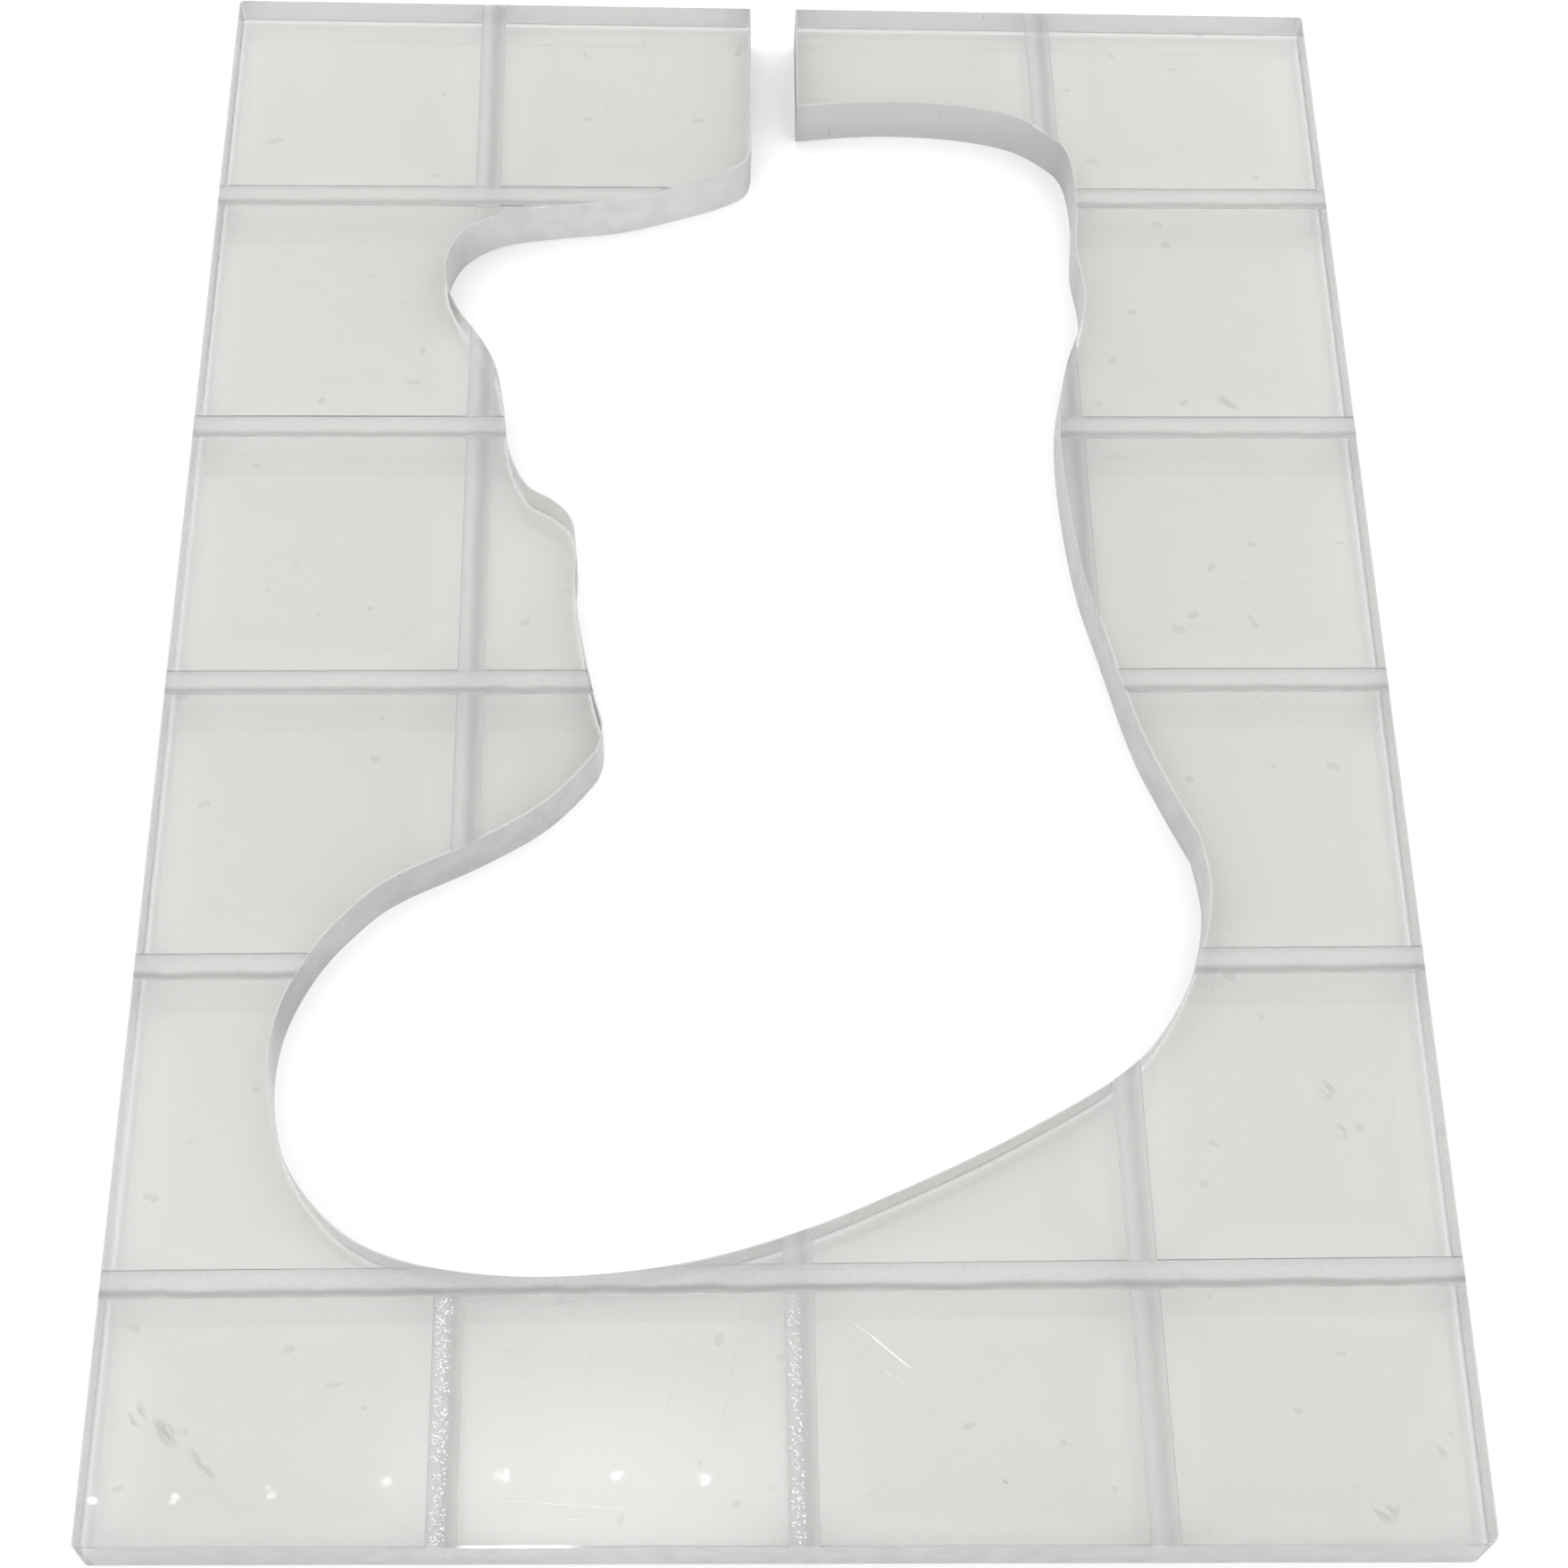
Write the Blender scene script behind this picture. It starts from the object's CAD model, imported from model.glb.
"""A french curve template of clear acrylic on a pale studio floor.

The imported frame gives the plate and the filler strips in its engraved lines. This script gives them
their finishes, adds the grit in the lines, and sets up the floor, the sky and the camera.

Everything is in metres, in the frame's own axes: +X to the right, +Y towards the slotted far edge
and +Z up out of the engraved face, from the middle of the underside.
"""

import logging
from dataclasses import dataclass, field
from enum import Enum
from math import atan2, cos, hypot, radians, sin
from typing import Any, Mapping, Sequence, Union

import bpy
from mathutils import Matrix, Vector


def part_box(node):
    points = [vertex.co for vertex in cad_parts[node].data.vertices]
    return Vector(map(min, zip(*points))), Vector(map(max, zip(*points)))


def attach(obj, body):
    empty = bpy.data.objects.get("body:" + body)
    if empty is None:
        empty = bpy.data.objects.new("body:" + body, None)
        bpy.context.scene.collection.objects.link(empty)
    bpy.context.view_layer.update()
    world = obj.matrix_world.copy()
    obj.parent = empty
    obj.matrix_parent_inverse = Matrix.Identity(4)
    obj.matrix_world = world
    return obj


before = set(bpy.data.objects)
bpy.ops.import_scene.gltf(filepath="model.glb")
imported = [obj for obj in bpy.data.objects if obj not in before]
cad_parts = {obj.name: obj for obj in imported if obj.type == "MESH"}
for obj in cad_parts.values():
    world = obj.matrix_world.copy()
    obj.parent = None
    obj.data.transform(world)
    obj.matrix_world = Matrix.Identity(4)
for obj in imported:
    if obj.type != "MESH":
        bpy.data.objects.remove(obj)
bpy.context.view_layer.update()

LOG = logging.getLogger("french_curve")
MM = 0.001
ROOT = "root"
PLATE_NODE = "template_plate"

Colour = tuple[float, float, float]
Spot = tuple[float, float]
Step = tuple[float, float]


# ------------------------------------------------------------------ the engraved grid


class LineRun(Enum):
    """Which way an engraved line runs, with the prefix of its nodes' names."""

    ROW = "row_line"
    COLUMN = "column_line"


@dataclass(frozen=True)
class EngravedGrid:
    """The square grid on the top face.

    Attributes:
        pitch: Distance between neighbouring lines.
        turn: How far the grid is turned from the plate's borders.
        centre: Where row line 3 crosses column line 2.
        line_width: Width of one engraved line.
    """

    pitch: float = 25.4 * MM
    turn: float = radians(0.7)
    centre: Spot = (0.1 * MM, -1.7 * MM)
    line_width: float = 1.9 * MM


GRID = EngravedGrid()


# ------------------------------------------------------------------ writing shaders as sums


class Signal:
    """One shader value, which takes part in sums as a number does."""

    def __init__(self, bench: "NodeBench", socket: bpy.types.NodeSocket) -> None:
        """Wraps a socket.

        Args:
            bench: The node tree that the socket belongs to.
            socket: An output socket.
        """
        self.bench = bench
        self.socket = socket

    def _math(self, operation: str, *values: "Value") -> "Signal":
        """Adds a Math node.

        Args:
            operation: The node's operation.
            values: Its inputs, in order.

        Returns:
            The node's result.
        """
        return self.bench.add("ShaderNodeMath", {"operation": operation}, dict(enumerate(values)))

    def __add__(self, other: "Value") -> "Signal":
        """self + other."""
        return self._math("ADD", self, other)

    def __radd__(self, other: "Value") -> "Signal":
        """other + self."""
        return self._math("ADD", other, self)

    def __sub__(self, other: "Value") -> "Signal":
        """self - other."""
        return self._math("SUBTRACT", self, other)

    def __rsub__(self, other: "Value") -> "Signal":
        """other - self."""
        return self._math("SUBTRACT", other, self)

    def __mul__(self, other: "Value") -> "Signal":
        """self * other."""
        return self._math("MULTIPLY", self, other)

    def __rmul__(self, other: "Value") -> "Signal":
        """other * self."""
        return self._math("MULTIPLY", other, self)

    def __truediv__(self, other: "Value") -> "Signal":
        """self / other."""
        return self._math("DIVIDE", self, other)

    def __abs__(self) -> "Signal":
        """The size of self without its sign."""
        return self._math("ABSOLUTE", self)

    def at_most(self, other: "Value") -> "Signal":
        """The smaller of self and other."""
        return self._math("MINIMUM", self, other)

    def at_least(self, other: "Value") -> "Signal":
        """The larger of self and other."""
        return self._math("MAXIMUM", self, other)

    def root(self) -> "Signal":
        """The square root of self."""
        return self._math("SQRT", self)

    def from_nearest(self, step: float) -> "Signal":
        """Signed distance from self to the nearest multiple of step."""
        return self - self._math("ROUND", self / step) * step

    def rises(self, low: float, high: float) -> "Signal":
        """A smooth step.

        Args:
            low: Where it starts to leave 0.
            high: Where it reaches 1. Below low, the step falls instead.

        Returns:
            A value from 0 to 1.
        """
        ends = (0.0, 1.0) if low < high else (1.0, 0.0)
        settings = {"interpolation_type": "SMOOTHSTEP", "clamp": True}
        inputs = {0: self, 1: min(low, high), 2: max(low, high), 3: ends[0], 4: ends[1]}
        return self.bench.add("ShaderNodeMapRange", settings, inputs)

    def hump(self, middle: float, half_width: float) -> "Signal":
        """A soft hump, 1 at its middle and 0 beyond its half width."""
        return abs(self - middle).rises(half_width, 0.0)


Value = Union[Signal, float, int]


def as_rgba(colour: Any) -> Any:
    """A three-part colour with an alpha of 1, or the signal itself."""
    return colour if isinstance(colour, Signal) else (*colour, 1.0)


def scaled(colour: Colour, factor: float) -> Colour:
    """A colour made lighter or darker."""
    return tuple(part * factor for part in colour)


class NodeBench:
    """A shader node tree, and the one place that adds nodes to it."""

    def __init__(self, tree: bpy.types.NodeTree, output_kind: str, place_output: str) -> None:
        """Empties the tree and gives it its output.

        Args:
            tree: The tree to fill.
            output_kind: The output node's type.
            place_output: The Texture Coordinate output that says where a point is.
        """
        self.tree = tree
        self.tree.nodes.clear()
        self.output = self.tree.nodes.new(output_kind)
        self._place_output = place_output
        self._axes: tuple[Signal, Signal, Signal] | None = None

    def add(
        self,
        kind: str,
        settings: Mapping[str, Any] | None = None,
        inputs: Mapping[str | int, Any] | None = None,
        output: str | int = 0,
    ) -> Signal:
        """Adds one node.

        Args:
            kind: The node's type.
            settings: Its properties, set before its sockets are used.
            inputs: Values or signals for its input sockets, by name or number.
            output: The output socket that is wanted.

        Returns:
            That output as a signal.
        """
        node = self.tree.nodes.new(kind)
        for name, setting in (settings or {}).items():
            setattr(node, name, setting)
        for key, value in (inputs or {}).items():
            if isinstance(value, Signal):
                self.tree.links.new(value.socket, node.inputs[key])
            else:
                node.inputs[key].default_value = value
        return Signal(self, node.outputs[output])

    def place(self) -> Signal:
        """The point being shaded, or the direction looked in."""
        return self.add("ShaderNodeTexCoord", output=self._place_output)

    def axes(self) -> tuple[Signal, Signal, Signal]:
        """The place's X, Y and Z as three separate signals."""
        if self._axes is None:
            self._axes = self.split(self.place())
        return self._axes

    def split(self, vector: Signal) -> tuple[Signal, Signal, Signal]:
        """A vector's three parts."""
        outputs = self.add("ShaderNodeSeparateXYZ", inputs={0: vector}).socket.node.outputs
        return Signal(self, outputs[0]), Signal(self, outputs[1]), Signal(self, outputs[2])

    def mix_colour(self, amount: Value, first: Any, second: Any) -> Signal:
        """A colour between two.

        Args:
            amount: 0 for the first colour and 1 for the second.
            first: A colour or a signal.
            second: A colour or a signal.

        Returns:
            The mixed colour.
        """
        settings = {"data_type": "RGBA", "clamp_factor": True}
        inputs = {0: amount, 6: as_rgba(first), 7: as_rgba(second)}
        return self.add("ShaderNodeMix", settings, inputs, output=2)

    def show(self, surface: Signal) -> None:
        """Gives the tree's output what it shows."""
        self.tree.links.new(surface.socket, self.output.inputs["Surface"])


class MaterialBench(NodeBench):
    """A new material, with the patterns that the finishes share."""

    def __init__(self, name: str) -> None:
        """Starts a material with nothing but its output."""
        self.material = bpy.data.materials.new(name)
        self.material.use_nodes = True
        super().__init__(self.material.node_tree, "ShaderNodeOutputMaterial", "Object")

    def facing_up(self) -> Signal:
        """The upward part of the surface's own direction, from -1 to 1."""
        return self.split(self.add("ShaderNodeNewGeometry", output="Normal"))[2]

    def turned(self, centre: Spot, turn: float) -> tuple[Signal, Signal]:
        """The place seen from a turned cross on the plate.

        Args:
            centre: The cross's middle.
            turn: The cross's turn about Z.

        Returns:
            The distances along and across the cross's first arm.
        """
        x, y, _ = self.axes()
        right = x - centre[0]
        away = y - centre[1]
        along = right * cos(turn) + away * sin(turn)
        across = away * cos(turn) - right * sin(turn)
        return along, across

    def noise(
        self,
        scale: float,
        detail: float = 3.0,
        stretch: Sequence[float] = (1.0, 1.0, 1.0),
        turn: float = 0.0,
        shift: float = 0.0,
    ) -> Signal:
        """Smooth noise, from about 0.3 to 0.7.

        Args:
            scale: Features per metre.
            detail: Octaves.
            stretch: How much longer a feature is along each axis, after the turn.
            turn: Turn of the pattern about Z.
            shift: Offset of the pattern, to make copies differ.

        Returns:
            The noise value.
        """
        layout = {0: self.place(), 1: (shift, shift, 0.0), 2: (0.0, 0.0, turn), 3: stretch}
        mapped = self.add("ShaderNodeMapping", {"vector_type": "TEXTURE"}, layout)
        pattern = {"Vector": mapped, "Scale": scale, "Detail": detail}
        return self.add("ShaderNodeTexNoise", {}, pattern)

    def hairlines(self, turn: float, shift: float) -> Signal:
        """Sparse fine scratches that all run one way."""
        lines = self.noise(
            scale=5200.0, detail=1.0, stretch=(160.0, 1.0, 1.0), turn=turn, shift=shift
        )
        patches = self.noise(scale=45.0, detail=2.0, shift=shift + 1.0)
        return lines.rises(low=0.66, high=0.74) * patches.rises(low=0.5, high=0.62)

    def bump(self, height: Signal, distance: float) -> Signal:
        """A normal that leans with a height, where 1 stands for the distance in metres."""
        return self.add("ShaderNodeBump", {}, {"Height": height, "Distance": distance})

    def surface(self, **inputs: Any) -> Signal:
        """A Principled surface, from its sockets' names with _ for each space."""
        named = {key.replace("_", " "): value for key, value in inputs.items()}
        return self.add("ShaderNodeBsdfPrincipled", {}, named)

    def layered(self, amount: Value, below: Signal, above: Signal) -> Signal:
        """A surface that goes from one surface to another as the amount goes from 0 to 1."""
        return self.add("ShaderNodeMixShader", {}, {0: amount, 1: below, 2: above})

    def finished(self, surface: Signal) -> bpy.types.Material:
        """Closes the material with its surface, and returns it."""
        self.show(surface)
        return self.material


# ------------------------------------------------------------------ marks of use


@dataclass(frozen=True)
class Scratch:
    """One straight scratch on the top face.

    Attributes:
        start: One end.
        end: The other end.
        half_width: Half its width.
        depth: How strongly it shows, from 0 to 1.
        full_share: How much of its half length shows in full, before it fades.
    """

    start: Spot
    end: Spot
    half_width: float
    depth: float
    full_share: float = 0.4

    def mask(self, bench: MaterialBench) -> Signal:
        """1 along the scratch's middle, fading to its edges and ends."""
        run = (self.end[0] - self.start[0], self.end[1] - self.start[1])
        middle = (self.start[0] + run[0] / 2, self.start[1] + run[1] / 2)
        along, across = bench.turned(middle, atan2(run[1], run[0]))
        half_length = hypot(*run) / 2
        lengthwise = abs(along).rises(half_length, half_length * self.full_share)
        return across.hump(0.0, self.half_width) * lengthwise * self.depth


@dataclass(frozen=True)
class Smudge:
    """One small grey smudge on the top face.

    Attributes:
        centre: Its middle.
        reach: Its half length.
        turn: The way that it runs.
        depth: How strongly it shows, from 0 to 1.
        slenderness: Its length for each unit of its width.
        full_share: How much of its reach shows in full, before it fades.
    """

    centre: Spot
    reach: float
    turn: float
    depth: float
    slenderness: float = 2.0
    full_share: float = 0.2

    def mask(self, bench: MaterialBench, streaks: Signal) -> Signal:
        """Broken patches inside an ellipse."""
        along, across = bench.turned(self.centre, self.turn)
        distance = (along * along + across * across * self.slenderness**2).root()
        return distance.rises(self.reach, self.reach * self.full_share) * streaks * self.depth


def mm(x: float, y: float) -> Spot:
    """A spot on the plate, from millimetres."""
    return (x * MM, y * MM)


SCRATCHES = (
    Scratch(mm(5.3, -56.2), mm(9.2, -59.6), 0.10 * MM, 0.7),
    Scratch(mm(6.2, -58.9), mm(8.6, -60.6), 0.05 * MM, 0.3),
    Scratch(mm(3.6, -54.8), mm(5.6, -56.6), 0.05 * MM, 0.25),
    Scratch(mm(-24.0, -68.4), mm(-8.0, -69.6), 0.05 * MM, 0.2),
    Scratch(mm(-20.0, -70.2), mm(-12.0, -69.9), 0.05 * MM, 0.15),
)

# Each set of hairlines: its turn in degrees, the offset of its pattern, and its depth.
HAIRLINES = ((35, 0.3, 0.04), (-20, 0.7, 0.04), (80, 1.1, 0.03))

SMUDGES = (
    Smudge(mm(-46.6, -62.4), 2.0 * MM, radians(-60), 0.9),
    Smudge(mm(-44.2, -63.9), 1.7 * MM, radians(-50), 0.9),
    Smudge(mm(-41.2, -66.1), 2.2 * MM, radians(-55), 0.8),
    Smudge(mm(41.2, -37.6), 2.0 * MM, radians(65), 0.7),
    Smudge(mm(42.3, -40.7), 1.8 * MM, radians(20), 0.9),
    Smudge(mm(42.3, -69.4), 2.6 * MM, radians(20), 0.7),
    Smudge(mm(47.0, -64.6), 1.8 * MM, radians(60), 0.6),
    Smudge(mm(34.8, 26.8), 1.7 * MM, radians(50), 0.6),
    Smudge(mm(39.1, 26.9), 1.6 * MM, radians(-40), 0.5),
    Smudge(mm(15.4, -67.4), 0.6 * MM, 0.0, 1.0),
)


# ------------------------------------------------------------------ finishes


@dataclass(frozen=True)
class ClearAcrylic:
    """Clear cast sheet with a trace of grey. Its cut walls are frosted by the saw.

    Attributes:
        tint: What one pass through a face keeps of the light, inside a square of the grid.
        pale_tint: The same beside the lines and borders.
        smudge_tint: The same under a grey smudge.
        wall_tint: What one pass through a cut wall keeps.
        edge_tint: The same through the bevels along its edges.
        haze: Colour of the fine dust that clings to the frosted walls.
        far_haze: The same at the cut-out's far end, where more grime has gathered.
        groove_haze: The same on the grooves' low walls.
        bevel_colour: Colour of the scraped bevels round the top face.
        scratch: Colour of a scratch's rough floor.
        refraction: Index of refraction.
        face_roughness: Roughness of the polished faces.
        smear_roughness: What a wiped smear adds to it.
        wall_roughness: Roughness of the cut walls.
        bevel_roughness: What scraping adds on the bevels.
        wall_haze: Share of the walls that the dust covers.
        clean_wall_haze: The same on the cleaner walls.
        bevel_haze: The same on the bevels round the top face.
        groove_cleanness: How clean the grooves' walls are, from 0 to 1.
        wave_height: Height of the waves in the faces.
        wall_slope: Upward part of a surface's direction where it starts and ends to be a wall.
        bevel_slope: The same for a bevel, as the middle and the half width.
        top_zone: Where the engraved layer starts, above the underside.
        groove_side: Distance from a line's middle where a groove ends, with a soft edge.
        beside_line: Distance from a line's middle over which the sheet turns pale.
        beside_border: The same from the plate's borders.
        border: Half the plate's width and half its length.
        near_bevel: Y where the near edge's bevel ends.
        far_end: Y where the grimy far end of the cut-out starts.
        side_walls: Distance from the middle, along X, where the side borders start.
        far_wall: Y where the far border starts.
        near_wall: Y where the near border ends.
        sole: Y below which the cut-out's wall is its sole.
        instep_right: X left of which the cut-out's wall is its instep.
        instep_far: Y below which it is.
        instep_near: Y above which it is.
    """

    name: str = "clear_acrylic_sheet"
    tint: Colour = (0.906, 0.909, 0.887)
    pale_tint: Colour = (0.968, 0.966, 0.954)
    smudge_tint: Colour = (0.50, 0.50, 0.49)
    wall_tint: Colour = (0.985, 0.985, 0.98)
    edge_tint: Colour = (0.72, 0.72, 0.715)
    haze: Colour = (0.44, 0.44, 0.435)
    far_haze: Colour = (0.35, 0.35, 0.345)
    groove_haze: Colour = (0.70, 0.70, 0.69)
    scratch: Colour = (0.95, 0.95, 0.95)
    refraction: float = 1.49
    face_roughness: float = 0.01
    smear_roughness: float = 0.025
    wall_roughness: float = 0.3
    wall_haze: float = 0.85
    clean_wall_haze: float = 0.12
    bevel_haze: float = 0.6
    bevel_roughness: float = 0.5
    bevel_colour: Colour = (0.56, 0.56, 0.55)
    groove_cleanness: float = 0.5
    wave_height: float = 0.012 * MM
    wall_slope: Step = (0.68, 0.5)
    bevel_slope: Step = (0.7, 0.15)
    top_zone: float = 4.6 * MM
    groove_side: Step = (1.2 * MM, 1.0 * MM)
    beside_line: Step = (6.0 * MM, 1.8 * MM)
    beside_border: Step = (4.0 * MM, 2.0 * MM)
    border: Spot = (50.0 * MM, 72.0 * MM)
    near_bevel: Step = (-71.8 * MM, -71.6 * MM)
    far_end: Step = (50.0 * MM, 57.0 * MM)
    side_walls: Step = (49.0 * MM, 49.5 * MM)
    far_wall: Step = (71.0 * MM, 71.5 * MM)
    near_wall: Step = (-71.5 * MM, -71.0 * MM)
    sole: Step = (-24.0 * MM, -32.0 * MM)
    instep_right: Step = (-14.0 * MM, -16.0 * MM)
    instep_far: Step = (38.0 * MM, 35.0 * MM)
    instep_near: Step = (0.0, 3.0 * MM)

    def make(self) -> bpy.types.Material:
        """Builds the material.

        Returns:
            The material.
        """
        bench = MaterialBench(self.name)
        upright = abs(bench.facing_up()).rises(*self.wall_slope)
        clean = self._clean_walls(bench).at_least(self._in_groove(bench) * self.groove_cleanness)
        share = self.wall_haze - clean * (self.wall_haze - self.clean_wall_haze)
        dusty = (upright * share).at_least(self._top_bevel(bench) * self.bevel_haze)
        sheet = bench.layered(dusty, self._sheet(bench, upright), self._dust(bench))
        rough_floor = bench.surface(Base_Color=as_rgba(self.scratch), Roughness=0.8)
        return bench.finished(bench.layered(self._scratches(bench), sheet, rough_floor))

    def _sheet(self, bench: MaterialBench, upright: Signal) -> Signal:
        """The sheet itself, polished on its faces and frosted on its walls."""
        colour = bench.mix_colour(self._beside_edges(bench), self.tint, self.pale_tint)
        colour = bench.mix_colour(self._smudges(bench), colour, self.smudge_tint)
        colour = bench.mix_colour(upright, colour, self.wall_tint)
        bevels = abs(bench.facing_up()).hump(*self.bevel_slope)
        colour = bench.mix_colour(bevels, colour, self.edge_tint)
        smears = bench.noise(scale=60.0, detail=5.0, stretch=(3.0, 1.0, 1.0), turn=radians(20))
        polished = self.face_roughness + self.smear_roughness * smears.rises(low=0.52, high=0.75)
        saw_marks = bench.noise(scale=1500.0, detail=3.0, stretch=(1.0, 1.0, 8.0))
        frosted = self.wall_roughness * (0.8 + 0.4 * saw_marks)
        scraped = self._scraped_bevels(bench) * self.bevel_roughness
        roughness = polished + upright * (frosted - polished) + scraped
        waves = bench.noise(scale=90.0, detail=2.0) + upright * saw_marks
        return bench.surface(
            Base_Color=colour,
            Roughness=roughness,
            IOR=self.refraction,
            Transmission_Weight=1.0,
            Normal=bench.bump(waves, self.wave_height),
        )

    def _dust(self, bench: MaterialBench) -> Signal:
        """The fine dust on the cut walls and the scraped bevels."""
        patches = bench.noise(scale=500.0, detail=4.0).rises(low=0.35, high=0.65)
        colour = bench.mix_colour(patches, scaled(self.haze, 0.94), scaled(self.haze, 1.06))
        colour = bench.mix_colour(bench.axes()[1].rises(*self.far_end), colour, self.far_haze)
        colour = bench.mix_colour(self._in_groove(bench), colour, self.groove_haze)
        colour = bench.mix_colour(self._top_bevel(bench), colour, self.bevel_colour)
        return bench.surface(Base_Color=colour, Roughness=0.5)

    def _top_bevel(self, bench: MaterialBench) -> Signal:
        """1 on the scraped bevels round the top face, and 0 elsewhere."""
        return self._scraped_bevels(bench) * self._near_top(bench)

    def _scraped_bevels(self, bench: MaterialBench) -> Signal:
        """1 on every bevel but the polished ones along the near edge, and 0 elsewhere."""
        past_near_edge = bench.axes()[1].rises(*self.near_bevel)
        return abs(bench.facing_up()).hump(*self.bevel_slope) * past_near_edge

    def _clean_walls(self, bench: MaterialBench) -> Signal:
        """1 on the side and far borders, the sole and the instep, and 0 on the other walls."""
        x, y, _ = bench.axes()
        side = abs(x).rises(*self.side_walls)
        far = y.rises(*self.far_wall)
        sole = y.rises(*self.sole) * y.rises(*self.near_wall)
        along_instep = y.rises(*self.instep_far) * y.rises(*self.instep_near)
        instep = x.rises(*self.instep_right) * along_instep
        return side.at_least(far).at_least(sole).at_least(instep)

    def _near_top(self, bench: MaterialBench) -> Signal:
        """1 in the engraved layer under the top face, and 0 lower down."""
        return bench.axes()[2].rises(self.top_zone, self.top_zone + 0.1 * MM)

    def _in_groove(self, bench: MaterialBench) -> Signal:
        """1 in the engraved grooves, and 0 elsewhere."""
        return self._near_top(bench) * self._to_line(bench).rises(*self.groove_side)

    def _beside_edges(self, bench: MaterialBench) -> Signal:
        """1 beside the engraved lines and the borders, fading to 0 inside each square."""
        x, y, _ = bench.axes()
        to_border = (self.border[0] - abs(x)).at_most(self.border[1] - abs(y))
        soft = bench.noise(scale=120.0, detail=2.0) * MM
        beside_line = (self._to_line(bench) + soft).rises(*self.beside_line)
        return beside_line.at_least((to_border + soft).rises(*self.beside_border))

    def _to_line(self, bench: MaterialBench) -> Signal:
        """Distance to the middle of the nearest engraved line."""
        along, across = bench.turned(GRID.centre, GRID.turn)
        to_column = abs(along.from_nearest(GRID.pitch))
        return to_column.at_most(abs(across.from_nearest(GRID.pitch)))

    def _smudges(self, bench: MaterialBench) -> Signal:
        """Every smudge, and a scatter of fine dark specks."""
        streaks = bench.noise(scale=1100.0, detail=4.0, stretch=(3.0, 1.0, 1.0), turn=radians(-50))
        broken = streaks.rises(low=0.5, high=0.62)
        specks = bench.noise(scale=700.0, detail=0.0, shift=3.0).rises(low=0.82, high=0.86)
        total = specks * 0.3
        for smudge in SMUDGES:
            total = total.at_least(smudge.mask(bench, broken))
        return total * self._near_top(bench)

    def _scratches(self, bench: MaterialBench) -> Signal:
        """Every scratch, and the hairlines of years of use, on the top face only."""
        total: Value = 0.0
        for turn, shift, depth in HAIRLINES:
            total = (bench.hairlines(radians(turn), shift) * depth).at_least(total)
        for scratch in SCRATCHES:
            total = total.at_least(scratch.mask(bench))
        return total * self._near_top(bench) * bench.facing_up().rises(low=0.5, high=0.9)


@dataclass(frozen=True)
class LineFiller:
    """Pale grey, slightly translucent filler, wiped into the engraved lines.

    Attributes:
        run: The way that its lines run, which sets the side that the filler sinks on.
        body: Colour of the flush part.
        sunk_far: Colour of the sunk side towards the plate's far edge.
        sunk_near: The same towards its near edge.
        rim: Colour of the thin line on the other side.
        sunk_place: Middle and half width of the sunk band, from the line's middle.
        rim_place: Where the rim starts and is in full, from the line's middle.
        wander: How far the band and the rim stray from their places.
        nearness: Y over which the sunk colour goes from the far one to the near one.
        translucence: Share of the light that passes through.
        refraction: Index of refraction.
        grain_height: Height of the grain.
    """

    run: LineRun
    body: Colour = (0.925, 0.922, 0.918)
    sunk_far: Colour = (0.69, 0.685, 0.68)
    sunk_near: Colour = (0.63, 0.625, 0.62)
    rim: Colour = (0.88, 0.875, 0.875)
    sunk_place: Step = (-0.6 * MM, 0.5 * MM)
    rim_place: Step = (0.6 * MM, 0.8 * MM)
    wander: float = 0.5 * MM
    nearness: Step = (20.0 * MM, -60.0 * MM)
    translucence: float = 0.9
    refraction: float = 1.3
    grain_height: float = 0.015 * MM

    def make(self) -> bpy.types.Material:
        """Builds the material.

        Returns:
            The material.
        """
        bench = MaterialBench(f"line_filler_{self.run.name.lower()}")
        grain = bench.noise(scale=2600.0, detail=4.0)
        stray = bench.noise(scale=350.0, detail=3.0) * self.wander - self.wander / 2
        along, across = bench.turned(GRID.centre, GRID.turn)
        beyond_middle = across if self.run is LineRun.ROW else along
        place = beyond_middle.from_nearest(GRID.pitch) + stray
        nearness = bench.axes()[1].rises(*self.nearness)
        sunk_colour = bench.mix_colour(nearness, self.sunk_far, self.sunk_near)
        colour = bench.mix_colour(place.rises(*self.rim_place), self.body, self.rim)
        colour = bench.mix_colour(place.hump(*self.sunk_place), colour, sunk_colour)
        dark_grains = grain.rises(low=0.45, high=0.75) * 0.3
        colour = bench.mix_colour(dark_grains, colour, sunk_colour)
        return bench.finished(
            bench.surface(
                Base_Color=colour,
                Roughness=0.28 + 0.1 * grain,
                IOR=self.refraction,
                Transmission_Weight=self.translucence,
                Normal=bench.bump(grain, self.grain_height),
            )
        )


FILLERS = (
    LineFiller(LineRun.ROW),
    LineFiller(
        LineRun.COLUMN,
        body=(0.91, 0.905, 0.90),
        sunk_far=(0.74, 0.735, 0.73),
        sunk_near=(0.78, 0.775, 0.77),
        sunk_place=(0.35 * MM, 0.9 * MM),
        rim_place=(-0.7 * MM, -0.85 * MM),
    ),
)


@dataclass(frozen=True)
class GlassyGrit:
    """Clean white grains of grit."""

    name: str = "glassy_grit"
    colour: Colour = (0.96, 0.96, 0.97)

    def make(self) -> bpy.types.Material:
        """Builds the material.

        Returns:
            The material.
        """
        bench = MaterialBench(self.name)
        tone = bench.noise(scale=900.0, detail=2.0).rises(low=0.35, high=0.65)
        colour = bench.mix_colour(tone, scaled(self.colour, 0.85), self.colour)
        roughness = 0.12 + 0.2 * tone
        return bench.finished(
            bench.surface(Base_Color=colour, Roughness=roughness, IOR=1.5, Coat_Weight=0.5)
        )


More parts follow.
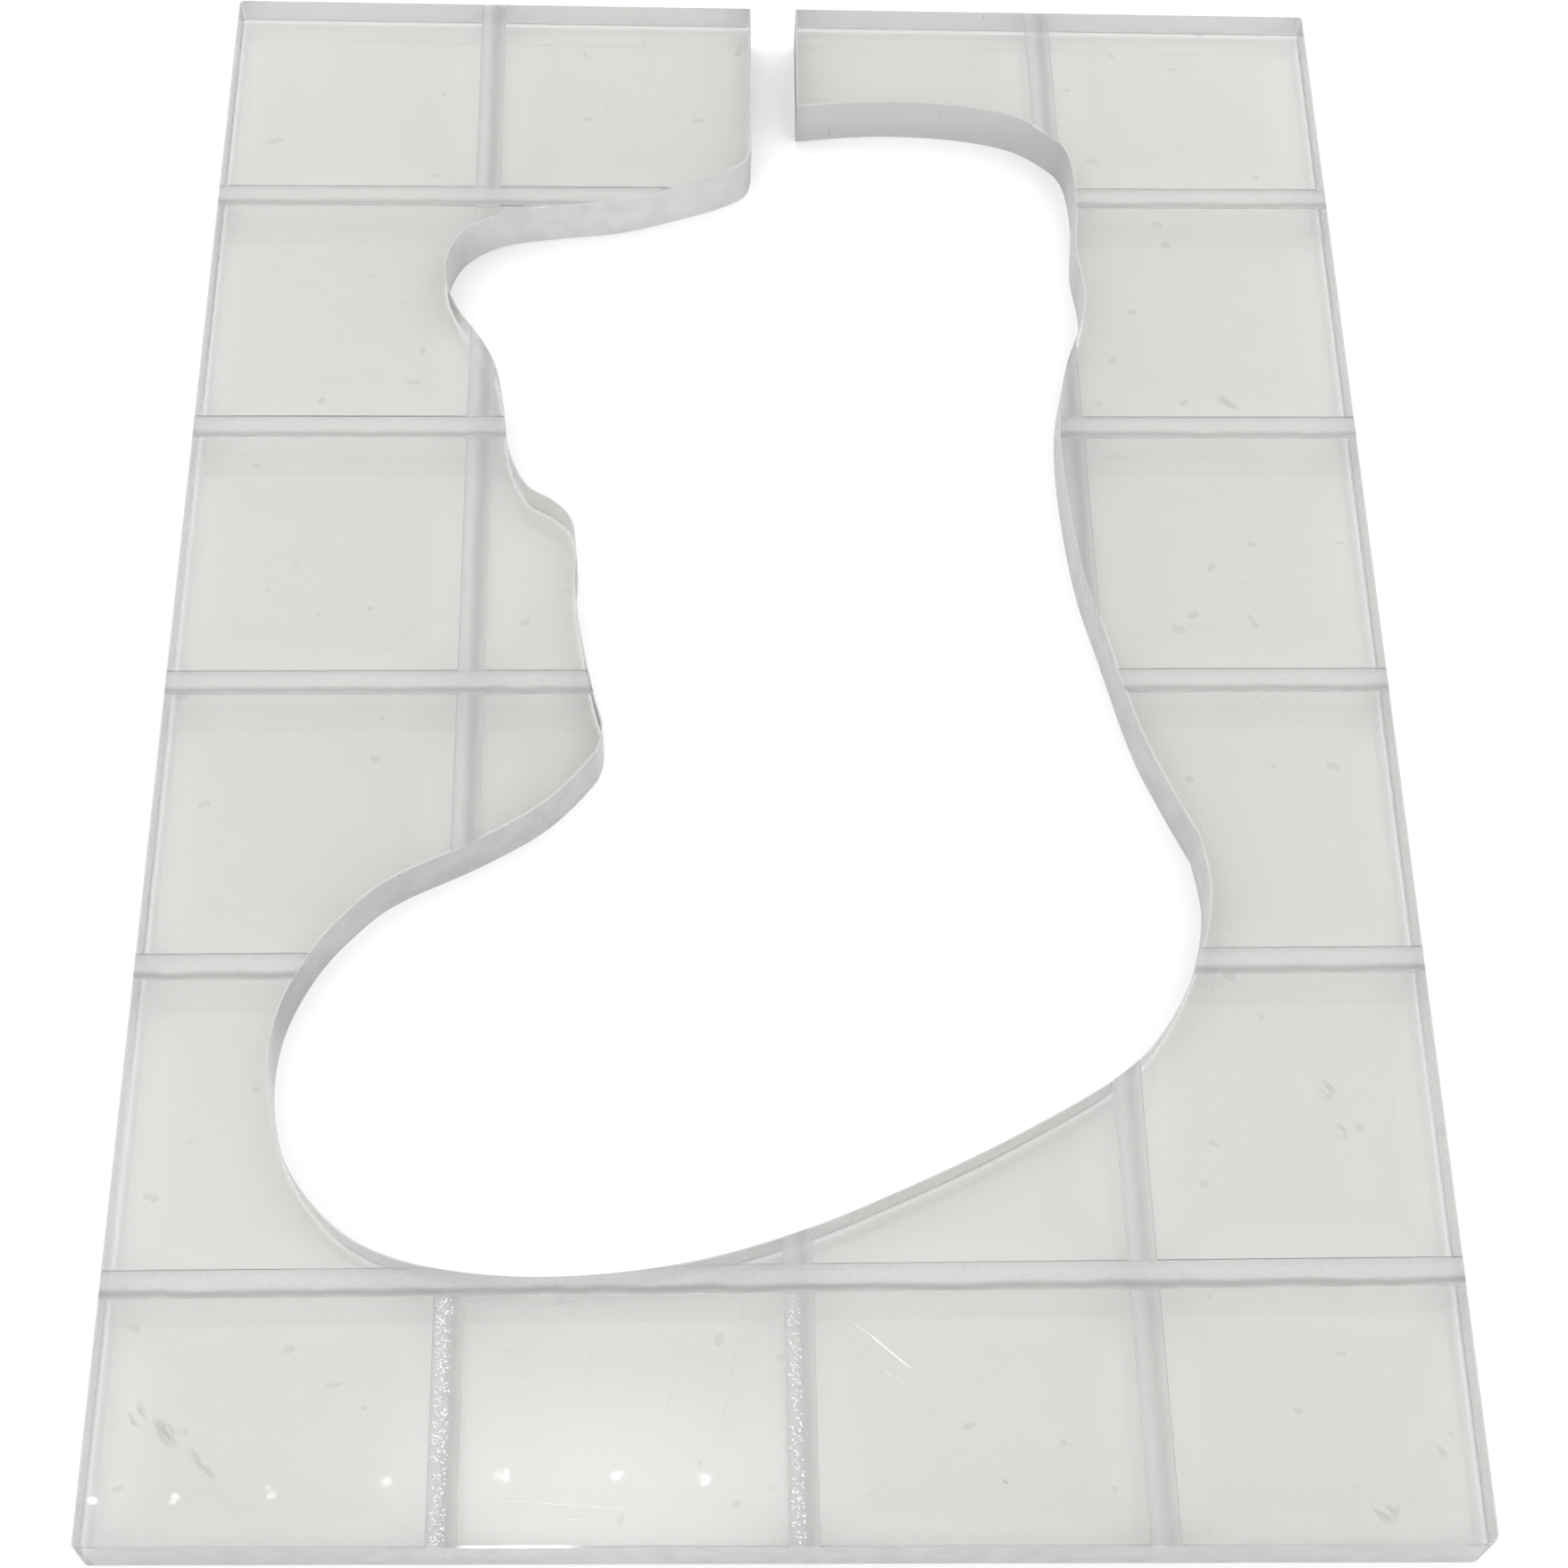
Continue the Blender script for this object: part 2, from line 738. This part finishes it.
@dataclass(frozen=True)
class StudioPaper:
    """The plain pale floor."""

    name: str = "studio_paper"
    colour: Colour = (0.96, 0.96, 0.96)

    def make(self) -> bpy.types.Material:
        """Builds the material.

        Returns:
            The material.
        """
        bench = MaterialBench(self.name)
        fibre = bench.noise(scale=400.0)
        colour = bench.mix_colour(fibre, self.colour, scaled(self.colour, 0.99))
        paper = bench.surface(Base_Color=colour, Roughness=0.9, Specular_IOR_Level=0.0)
        return bench.finished(paper)


# ------------------------------------------------------------------ sub-assemblies


def dress(piece: bpy.types.Object, material: bpy.types.Material) -> None:
    """Gives every material slot of a piece one material."""
    for slot in piece.material_slots:
        slot.material = material
    LOG.info("%s: finished in %s", piece.name, material.name)


@dataclass
class TemplatePlate:
    """The engraved acrylic plate, shown as the frame has it."""

    node: bpy.types.Object
    acrylic: ClearAcrylic = field(default_factory=ClearAcrylic)

    def build(self) -> None:
        """Dresses the plate."""
        dress(self.node, self.acrylic.make())


@dataclass
class FilledLines:
    """The filler strips that run one way, shown as the frame has them."""

    filler: LineFiller
    strips: list[bpy.types.Object]

    def build(self) -> None:
        """Dresses every strip."""
        material = self.filler.make()
        for strip in self.strips:
            dress(strip, material)


class GritTree:
    """A Geometry Nodes tree that scatters flattened grains over a bed of faces."""

    SMALLEST = 0.35
    WIDTH_TO_LENGTH = 0.7
    WHOLE_TURN = (0.0, 0.0, 6.28)

    def __init__(self) -> None:
        """Builds the tree with its named inputs."""
        self.group = bpy.data.node_groups.new("scattered_grit", "GeometryNodeTree")
        self._sockets: dict[str, bpy.types.NodeTreeInterfaceSocket] = {}
        self._offer("Bed", "NodeSocketGeometry")
        self._offer("Grains per square metre", "NodeSocketFloat")
        self._offer("Grain radius", "NodeSocketFloat")
        self._offer("Flatness", "NodeSocketFloat")
        self._offer("Seed", "NodeSocketInt")
        self._offer("Material", "NodeSocketMaterial")
        self.group.interface.new_socket("Grit", in_out="OUTPUT", socket_type="NodeSocketGeometry")
        self._wire()

    def _offer(self, name: str, kind: str) -> None:
        """Adds one named input."""
        interface = self.group.interface
        self._sockets[name] = interface.new_socket(name, in_out="INPUT", socket_type=kind)

    def identifier(self, name: str) -> str:
        """The identifier that a modifier knows an input by."""
        return self._sockets[name].identifier

    def _node(
        self,
        kind: str,
        settings: Mapping[str, Any] | None = None,
        inputs: Mapping[str | int, Any] | None = None,
    ) -> bpy.types.Node:
        """Adds one node.

        Args:
            kind: The node's type.
            settings: Its properties.
            inputs: Values or output sockets for its inputs, by name or number.

        Returns:
            The node.
        """
        node = self.group.nodes.new(kind)
        for name, setting in (settings or {}).items():
            setattr(node, name, setting)
        for key, value in (inputs or {}).items():
            if isinstance(value, bpy.types.NodeSocket):
                self.group.links.new(value, node.inputs[key])
            else:
                node.inputs[key].default_value = value
        return node

    def _product(self, first: Any, second: Any) -> bpy.types.NodeSocket:
        """Two values or output sockets multiplied together."""
        factors = {0: first, 1: second}
        return self._node("ShaderNodeMath", {"operation": "MULTIPLY"}, factors).outputs[0]

    def _wire(self) -> None:
        """Adds the nodes from the bed to the finished grit."""
        given = self._node("NodeGroupInput").outputs
        bed = {
            "Mesh": given["Bed"],
            "Density": given["Grains per square metre"],
            "Seed": given["Seed"],
        }
        points = self._node(
            "GeometryNodeDistributePointsOnFaces", {"distribute_method": "RANDOM"}, bed
        )
        grain = self._node(
            "GeometryNodeMeshIcoSphere", {}, {"Radius": given["Grain radius"], "Subdivisions": 1}
        )
        size = self._node(
            "FunctionNodeRandomValue",
            {"data_type": "FLOAT"},
            {2: self.SMALLEST, 3: 1.0, "Seed": given["Seed"]},
        ).outputs[1]
        turn = self._node(
            "FunctionNodeRandomValue",
            {"data_type": "FLOAT_VECTOR"},
            {0: (0.0, 0.0, 0.0), 1: self.WHOLE_TURN, "Seed": given["Seed"]},
        ).outputs[0]
        height = self._product(size, given["Flatness"])
        width = self._product(size, self.WIDTH_TO_LENGTH)
        scale = self._node("ShaderNodeCombineXYZ", {}, {0: size, 1: width, 2: height})
        placed = {
            "Points": points.outputs["Points"],
            "Instance": grain.outputs["Mesh"],
            "Rotation": turn,
            "Scale": scale.outputs[0],
        }
        grains = self._node("GeometryNodeInstanceOnPoints", {}, placed)
        real = self._node("GeometryNodeRealizeInstances", {}, {"Geometry": grains.outputs[0]})
        finish = {"Geometry": real.outputs[0], "Material": given["Material"]}
        dressed = self._node("GeometryNodeSetMaterial", {}, finish)
        self._node("NodeGroupOutput", {}, {0: dressed.outputs[0]})


@dataclass
class GritLine:
    """The grit that lies along one side of one filler strip.

    Attributes:
        strip: The strip's node.
        side: Where the grit lies across the strip, from -1 to 1.
        spread: Half the width of its bed.
        per_square_metre: How thickly it lies.
        seed: The scatter's seed.
        grain_radius: The largest grain's radius.
        flatness: A grain's height for each unit of its length.
        lift: Height of the grains' middles above the strip.
    """

    strip: str
    side: float
    spread: float
    per_square_metre: float
    seed: int
    grain_radius: float = 0.10 * MM
    flatness: float = 0.25
    lift: float = 0.02 * MM

    def build(self, tree: GritTree, material: bpy.types.Material) -> None:
        """Scatters the grit and lets it ride with the plate.

        Args:
            tree: The scattering tree.
            material: The grains' finish.
        """
        source = bpy.data.objects.new(f"grit_bed_{self.strip}", self._bed())
        bpy.context.scene.collection.objects.link(source)
        scatter = source.modifiers.new("scatter", "NODES")
        scatter.node_group = tree.group
        settings = {
            "Grains per square metre": self.per_square_metre,
            "Grain radius": self.grain_radius,
            "Flatness": self.flatness,
            "Seed": self.seed,
            "Material": material,
        }
        for name, setting in settings.items():
            scatter[tree.identifier(name)] = setting
        evaluated = source.evaluated_get(bpy.context.evaluated_depsgraph_get())
        mesh = bpy.data.meshes.new_from_object(evaluated)
        bpy.data.objects.remove(source)
        grit = bpy.data.objects.new(f"grit_{self.strip}", mesh)
        bpy.context.scene.collection.objects.link(grit)
        mesh.shade_smooth()
        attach(grit, ROOT)
        LOG.info("%s: %d faces", grit.name, len(mesh.polygons))

    def _bed(self) -> bpy.types.Mesh:
        """The narrow rectangle that the grains lie on.

        Returns:
            A mesh of one face, on top of the strip.
        """
        low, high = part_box(self.strip)
        middle = (low + high) / 2
        half_length = (high.y - low.y) / 2 - self.grain_radius * 2
        across = self.side * (GRID.line_width / 2 - self.spread - self.grain_radius)
        turn = Matrix.Rotation(GRID.turn, 3, "Z")
        corners = []
        for right, away in ((-1, -1), (1, -1), (1, 1), (-1, 1)):
            offset = turn @ Vector((across + right * self.spread, away * half_length, 0.0))
            corners.append((middle.x + offset.x, middle.y + offset.y, high.z + self.lift))
        mesh = bpy.data.meshes.new(f"grit_bed_{self.strip}")
        mesh.from_pydata(corners, [], [(0, 1, 2, 3)])
        return mesh


def last_strip(nodes: Mapping[str, Any], line: int) -> str:
    """The name of the strip of a column line that is nearest the near edge."""
    prefix = f"{LineRun.COLUMN.value}_{line}_"
    return max(name for name in nodes if name.startswith(prefix))


# Each gritty column line: its number, half the width of its bed, its grains per square metre
# and its seed.
GRIT_LINES = ((1, 0.55 * MM, 2.2e7, 11), (2, 0.45 * MM, 1.5e7, 12))
LEFT_SIDE = -1.0


# ------------------------------------------------------------------ studio


@dataclass(frozen=True)
class SkyPatch:
    """A soft bright patch in the sky.

    Attributes:
        towards: The X and Y parts of the direction to its middle.
        reach: How far it reaches along X and Y, in the same measure.
        strength: What it adds to the sky at its middle.
    """

    towards: Spot
    reach: Spot
    strength: float

    def light(self, bench: NodeBench) -> Signal:
        """The light that it adds."""
        x, y, z = bench.axes()
        across = (x - self.towards[0]) / self.reach[0]
        away = (y - self.towards[1]) / self.reach[1]
        distance = (across * across + away * away).root()
        above_horizon = z.rises(low=0.0, high=0.1)
        return distance.rises(1.0, 0.0) * above_horizon * self.strength


# Each lamp: the X and Y parts of the direction to it, and its strength.
CEILING_LAMPS = (
    (-0.196, 0.248, 20.0), (-0.169, 0.250, 14.0), (-0.138, 0.253, 9.0), (-0.100, 0.257, 7.0),
    (-0.061, 0.261, 14.0), (-0.024, 0.260, 30.0), (0.007, 0.259, 14.0),
)


@dataclass
class Studio:
    """The floor, the soft sky and its row of small lamps.

    Attributes:
        floor_gap: Gap between the plate and the floor.
        floor_reach: How far the floor reaches from the middle.
        sky: Strength of the even sky.
        lamp_reach: How far a lamp reaches along X and Y, as a sky patch does.
        patches: The soft bright patches. The last one lights the near edge's bevel.
    """

    floor_gap: float = 0.1 * MM
    floor_reach: float = 6.0
    sky: float = 1.38
    lamp_reach: Spot = (0.0022, 0.0016)
    patches: tuple[SkyPatch, ...] = (
        SkyPatch((-0.03, 0.257), (0.12, 0.05), 1.6),
        SkyPatch((-0.03, 0.29), (0.34, 0.16), 0.5),
        SkyPatch((-0.056, -0.970), (0.024, 0.02), 60.0),
    )

    def build(self) -> None:
        """Builds the floor and the sky."""
        self._floor()
        self._sky()

    def _floor(self) -> None:
        """Lays the floor just under the plate, so that the two faces don't share a plane."""
        reach = self.floor_reach
        ways = ((-1, -1), (1, -1), (1, 1), (-1, 1))
        corners = [(right * reach, away * reach, -self.floor_gap) for right, away in ways]
        mesh = bpy.data.meshes.new("floor")
        mesh.from_pydata(corners, [], [(0, 1, 2, 3)])
        mesh.materials.append(StudioPaper().make())
        floor = bpy.data.objects.new("floor", mesh)
        bpy.context.scene.collection.objects.link(floor)

    def _sky(self) -> None:
        """Even white light from all round, with the soft patches overhead."""
        world = bpy.data.worlds.new("studio")
        world.use_nodes = True
        bench = NodeBench(world.node_tree, "ShaderNodeOutputWorld", "Generated")
        strength: Value = self.sky
        lamps = tuple(SkyPatch((x, y), self.lamp_reach, power) for x, y, power in CEILING_LAMPS)
        for patch in self.patches + lamps:
            strength = patch.light(bench) + strength
        light = {"Color": (1.0, 1.0, 1.0, 1.0), "Strength": strength}
        bench.show(bench.add("ShaderNodeBackground", {}, light))
        bpy.context.scene.world = world
        bpy.context.scene.view_settings.view_transform = "Standard"


@dataclass
class StudioCamera:
    """A camera over the near edge, looking down and away.

    Attributes:
        position: Where it stands.
        heading: Its turn from +Y towards +X.
        dip: How far it looks down.
        roll: Its turn about its own axis.
        lens: Focal length in millimetres.
        sensor: Sensor width in millimetres.
        nearest: The nearest distance that it shows.
    """

    position: Vector = field(default_factory=lambda: Vector((-7.5, -121.1, 205.5)) * MM)
    heading: float = radians(3.95)
    dip: float = radians(61.22)
    roll: float = radians(-3.85)
    lens: float = 65.6
    sensor: float = 36.0
    nearest: float = 0.01

    def build(self) -> None:
        """Adds the camera and makes it the scene's own."""
        data = bpy.data.cameras.new("camera")
        data.lens = self.lens
        data.sensor_width = self.sensor
        data.clip_start = self.nearest
        camera = bpy.data.objects.new("camera", data)
        camera.matrix_world = Matrix.Translation(self.position) @ self._axes().to_4x4()
        bpy.context.scene.collection.objects.link(camera)
        bpy.context.scene.camera = camera

    def _axes(self) -> Matrix:
        """The camera's axes.

        Returns:
            A rotation whose columns are the camera's right, up and backward directions.
        """
        level = cos(self.dip)
        forward = Vector((sin(self.heading) * level, cos(self.heading) * level, -sin(self.dip)))
        level_right = Vector((cos(self.heading), -sin(self.heading), 0.0))
        level_down = forward.cross(level_right)
        right = level_right * cos(self.roll) + level_down * sin(self.roll)
        down = level_down * cos(self.roll) - level_right * sin(self.roll)
        return Matrix((right, -down, -forward)).transposed()


# ------------------------------------------------------------------ main


def main() -> None:
    """Builds everything in order."""
    logging.basicConfig(level=logging.INFO, format="%(name)s %(message)s")
    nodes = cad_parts
    StudioCamera().build()
    Studio().build()
    TemplatePlate(nodes[PLATE_NODE]).build()
    for filler in FILLERS:
        strips = [nodes[name] for name in sorted(nodes) if name.startswith(filler.run.value)]
        FilledLines(filler, strips).build()
    tree = GritTree()
    grit = GlassyGrit().make()
    for line, spread, per_square_metre, seed in GRIT_LINES:
        strip = last_strip(nodes, line)
        GritLine(strip, LEFT_SIDE, spread, per_square_metre, seed).build(tree, grit)


if __name__ == "__main__":
    main()
